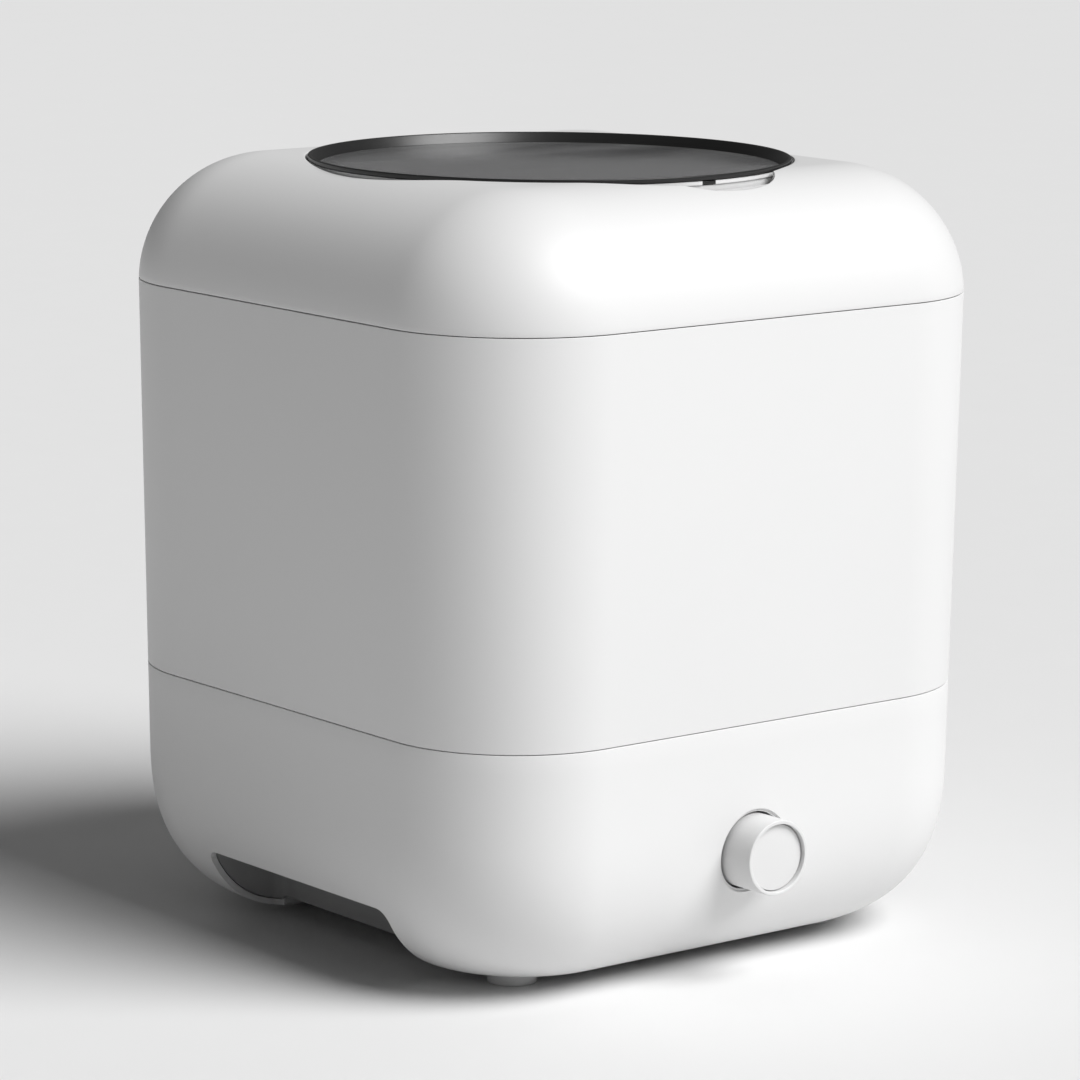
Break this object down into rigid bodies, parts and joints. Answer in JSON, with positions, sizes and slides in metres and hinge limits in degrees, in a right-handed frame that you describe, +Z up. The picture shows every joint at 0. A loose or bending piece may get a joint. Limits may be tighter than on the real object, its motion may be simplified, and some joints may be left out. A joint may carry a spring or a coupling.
{
  "type": "portable mini washer",
  "caption": "Small rounded-cube top-loading washer with a round tinted lid, a front control knob, side hand grips and a belt-driven pulsator in an open tub.",
  "frame": {"origin": "on the floor, under the centre of the casing", "axes": "+Z up, the knob's face is at -Y, +X to the right seen from the front"},
  "size_m": [0.3, 0.3232, 0.3462],
  "materials": {
    "white_shell": "satin moulded plastic",
    "knob_white": "fine satin",
    "tub_grey": "smooth satin",
    "black_rim": "gloss",
    "tinted_window": "smoked, clear polish",
    "dark_liner": "fine grain",
    "rubber_grey": "matt",
    "steel": "brushed",
    "zinc": "zinc plated",
    "board_green": "solder mask",
    "lead_black": "satin sheath"
  },
  "bodies": {
    "root": {"top_cover": "white_shell", "body_shell": "white_shell", "base_shell": "white_shell", "base_pan": "dark_liner", "grip_liner_left": "dark_liner", "grip_liner_right": "dark_liner", "foot_front_left": "rubber_grey", "foot_front_right": "rubber_grey", "foot_rear_left": "rubber_grey", "foot_rear_right": "rubber_grey", "base_screw_1": "zinc", "base_screw_2": "zinc", "base_screw_3": "zinc", "base_screw_4": "zinc", "chassis_deck": "steel", "deck_screw_1": "zinc", "deck_screw_2": "zinc", "deck_screw_3": "zinc", "deck_screw_4": "zinc", "wash_tub": "tub_grey", "tub_gasket": "rubber_grey", "bearing_housing": "zinc", "housing_screw_1": "zinc", "housing_screw_2": "zinc", "housing_screw_3": "zinc", "shaft_seal": "rubber_grey", "upper_bearing": "steel", "lower_bearing": "steel", "drive_belt": "rubber_grey", "motor_body": "steel", "motor_bracket": "steel", "motor_screw_1": "zinc", "motor_screw_2": "zinc", "lid_hinge_pin": "steel", "control_carrier": "white_shell", "encoder": "dark_liner", "control_board": "board_green", "power_inlet": "black_rim", "drain_pipe": "dark_liner", "drain_spigot": "white_shell", "motor_lead": "lead_black", "power_lead": "lead_black"},
    "lid": {"lid_frame": "black_rim", "lid_window": "tinted_window", "lid_skirt": "white_shell", "lid_gasket": "rubber_grey", "lid_catch": "black_rim"},
    "control_knob": {"knob": "knob_white"},
    "start_button": {"knob_button": "knob_white"},
    "pulsator_set": {"pulsator": "tub_grey", "pulsator_screw": "zinc", "pulsator_cap": "tub_grey", "drive_shaft": "steel", "driven_pulley": "zinc", "pulley_nut": "steel"},
    "motor_rotor": {"motor_shaft": "steel", "motor_pulley": "zinc"},
    "drain_plug": {"drain_cap": "rubber_grey"}
  },
  "joints": [
    {"name": "lid_hinge", "type": "hinge", "parent": "root", "child": "lid", "pos_m": [0, 0.113, 0.3389], "axis": [-1, 0, 0], "range_deg": [0, 100]},
    {"name": "knob_turn", "type": "hinge", "parent": "root", "child": "control_knob", "pos_m": [0, -0.15, 0.057], "axis": [0, -1, 0], "continuous": true},
    {"name": "button_push", "type": "slide", "parent": "control_knob", "child": "start_button", "axis": [0, 1, 0], "range_m": [0, 0.0015], "stiffness_N_per_m": 400},
    {"name": "pulsator_spin", "type": "hinge", "parent": "root", "child": "pulsator_set", "pos_m": [0, 0, 0.13], "axis": [0, 0, 1], "continuous": true},
    {"name": "rotor_spin", "type": "hinge", "parent": "root", "child": "motor_rotor", "pos_m": [0, 0.066, 0.068], "axis": [0, 0, 1], "continuous": true},
    {"name": "drain_cap_pull", "type": "slide", "parent": "root", "child": "drain_plug", "axis": [0, 1, 0], "range_m": [0, 0.03]}
  ],
  "couplings": [
    {"joint": "rotor_spin", "follows": "pulsator_spin", "ratio": 4}
  ]
}
